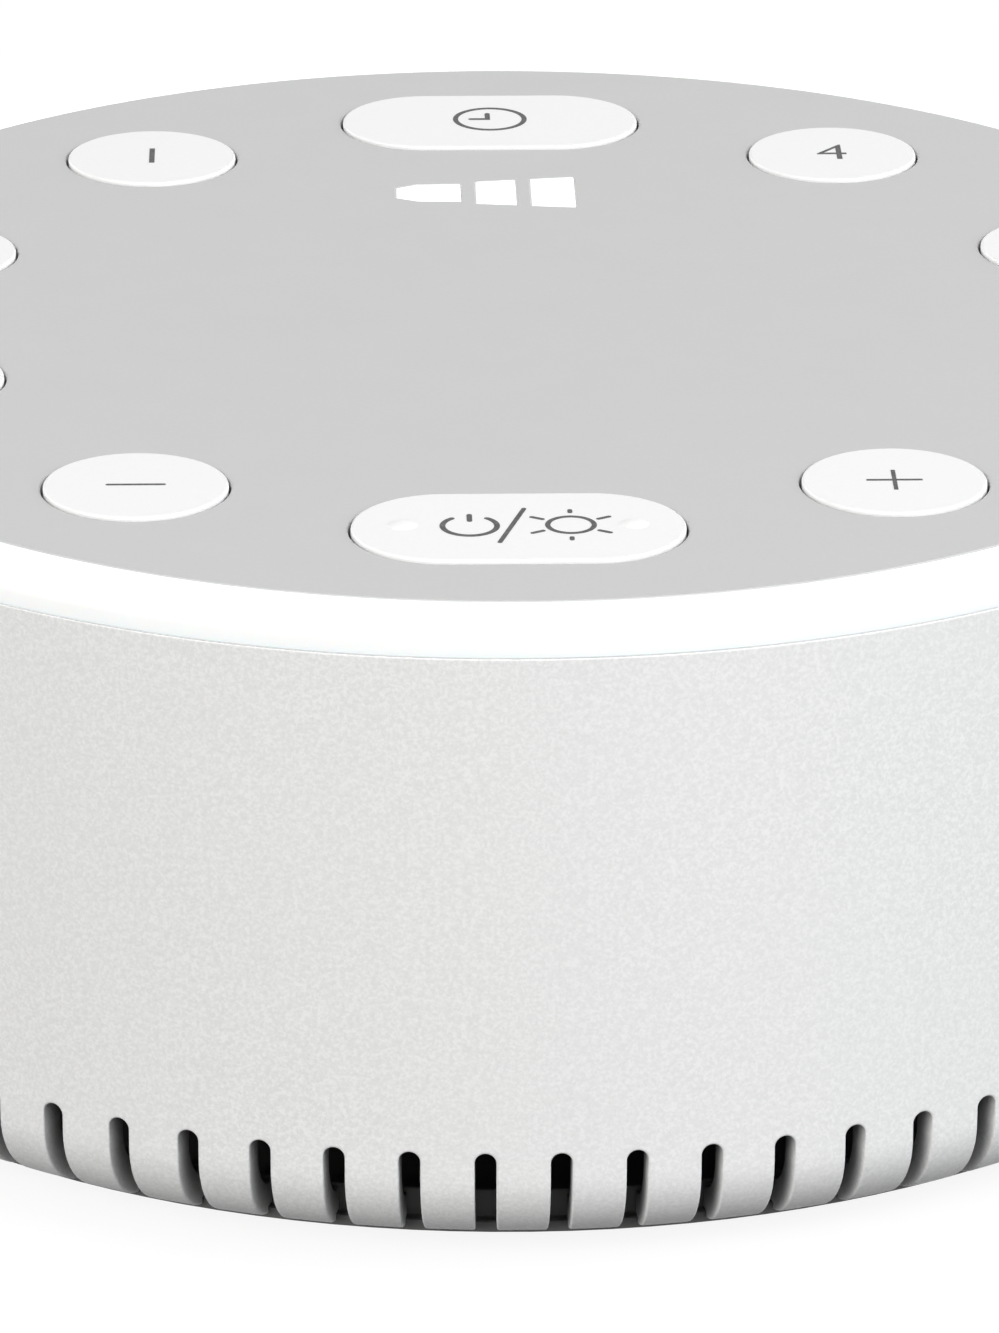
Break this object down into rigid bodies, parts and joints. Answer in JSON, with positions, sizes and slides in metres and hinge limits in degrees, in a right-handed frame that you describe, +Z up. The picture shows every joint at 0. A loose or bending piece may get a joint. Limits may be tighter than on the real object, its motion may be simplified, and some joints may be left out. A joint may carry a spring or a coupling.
{
  "type": "white noise sound machine",
  "caption": "Round bedside sound machine with a night-light ring, a top panel of press keys and a slotted sleeve over a downward-facing loudspeaker.",
  "frame": {"origin": "centre of the footprint, on the surface that the feet stand on", "axes": "+Z up out of the key panel, -Y towards the user, where the long power key is, +Y towards the power inlet"},
  "size_m": [0.136, 0.136, 0.0518],
  "materials": {
    "sleeve_paint": "satin silver-white, fine grain",
    "diffuser": "smooth translucent white",
    "panel_grey": "matte light grey",
    "key_white": "satin white",
    "clear_guide": "milky clear",
    "base_grey": "moulded dark grey",
    "black_plastic": "moulded black",
    "rubber": "matte",
    "foam": "closed-cell foam",
    "circuit_board": "solder mask",
    "lamp": "moulded white",
    "socket_white": "moulded off-white",
    "lead_red": "insulation",
    "lead_black": "insulation",
    "screw_steel": "zinc plated",
    "pressed_steel": "plated",
    "pin_metal": "nickel plated",
    "copper": "enamelled",
    "ferrite": "sintered",
    "paper": "pressed paper",
    "cloth": "resined cloth"
  },
  "bodies": {
    "root": {"housing": "sleeve_paint", "light_ring": "diffuser", "top_panel": "panel_grey", "timer_light_guide": "clear_guide", "switch_bodies": "black_plastic", "control_board": "circuit_board", "board_screws": "screw_steel", "night_light_lamps": "lamp", "timer_lamps": "lamp", "control_chip": "black_plastic", "memory_chip": "black_plastic", "amplifier_chip": "black_plastic", "lead_sockets": "socket_white", "power_leads": "lead_red", "speaker_leads": "lead_black", "speaker_baffle": "black_plastic", "pillar_screws": "screw_steel", "speaker_gasket": "foam", "speaker_basket": "pressed_steel", "speaker_screws": "screw_steel", "speaker_terminals": "copper", "surround": "rubber", "spider": "cloth", "front_plate": "pressed_steel", "magnet": "ferrite", "yoke": "pressed_steel", "power_board": "circuit_board", "power_board_screws": "screw_steel", "dc_socket": "black_plastic", "dc_socket_pin": "pin_metal", "smoothing_capacitor": "black_plastic", "voltage_regulator": "black_plastic", "base_cover": "base_grey", "base_screws": "screw_steel", "rubber_feet": "rubber"},
    "timer_button": {"timer_button": "key_white", "switch_plunger_1": "black_plastic"},
    "sound_button_1": {"sound_button_1": "key_white", "switch_plunger_2": "black_plastic"},
    "sound_button_2": {"sound_button_2": "key_white", "switch_plunger_3": "black_plastic"},
    "sound_button_3": {"sound_button_3": "key_white", "switch_plunger_4": "black_plastic"},
    "volume_down_button": {"volume_down_button": "key_white", "switch_plunger_5": "black_plastic"},
    "power_button": {"power_button": "key_white", "switch_plunger_6": "black_plastic"},
    "volume_up_button": {"volume_up_button": "key_white", "switch_plunger_7": "black_plastic"},
    "sound_button_6": {"sound_button_6": "key_white", "switch_plunger_8": "black_plastic"},
    "sound_button_5": {"sound_button_5": "key_white", "switch_plunger_9": "black_plastic"},
    "sound_button_4": {"sound_button_4": "key_white", "switch_plunger_10": "black_plastic"},
    "speaker_diaphragm": {"speaker_cone": "paper", "dust_cap": "paper", "voice_coil": "copper"}
  },
  "joints": [
    {"name": "timer_press", "type": "slide", "parent": "root", "child": "timer_button", "axis": [0, 0, -1], "range_m": [0, 0.0005], "stiffness_N_per_m": 2000},
    {"name": "sound_1_press", "type": "slide", "parent": "root", "child": "sound_button_1", "axis": [0, 0, -1], "range_m": [0, 0.0005], "stiffness_N_per_m": 2000},
    {"name": "sound_2_press", "type": "slide", "parent": "root", "child": "sound_button_2", "axis": [0, 0, -1], "range_m": [0, 0.0005], "stiffness_N_per_m": 2000},
    {"name": "sound_3_press", "type": "slide", "parent": "root", "child": "sound_button_3", "axis": [0, 0, -1], "range_m": [0, 0.0005], "stiffness_N_per_m": 2000},
    {"name": "volume_down_press", "type": "slide", "parent": "root", "child": "volume_down_button", "axis": [0, 0, -1], "range_m": [0, 0.0005], "stiffness_N_per_m": 2000},
    {"name": "power_press", "type": "slide", "parent": "root", "child": "power_button", "axis": [0, 0, -1], "range_m": [0, 0.0005], "stiffness_N_per_m": 2000},
    {"name": "volume_up_press", "type": "slide", "parent": "root", "child": "volume_up_button", "axis": [0, 0, -1], "range_m": [0, 0.0005], "stiffness_N_per_m": 2000},
    {"name": "sound_6_press", "type": "slide", "parent": "root", "child": "sound_button_6", "axis": [0, 0, -1], "range_m": [0, 0.0005], "stiffness_N_per_m": 2000},
    {"name": "sound_5_press", "type": "slide", "parent": "root", "child": "sound_button_5", "axis": [0, 0, -1], "range_m": [0, 0.0005], "stiffness_N_per_m": 2000},
    {"name": "sound_4_press", "type": "slide", "parent": "root", "child": "sound_button_4", "axis": [0, 0, -1], "range_m": [0, 0.0005], "stiffness_N_per_m": 2000},
    {"name": "cone_travel", "type": "slide", "parent": "root", "child": "speaker_diaphragm", "axis": [0, 0, 1], "range_m": [-0.001, 0.001], "stiffness_N_per_m": 1500, "deforming": ["surround", "spider"]}
  ]
}
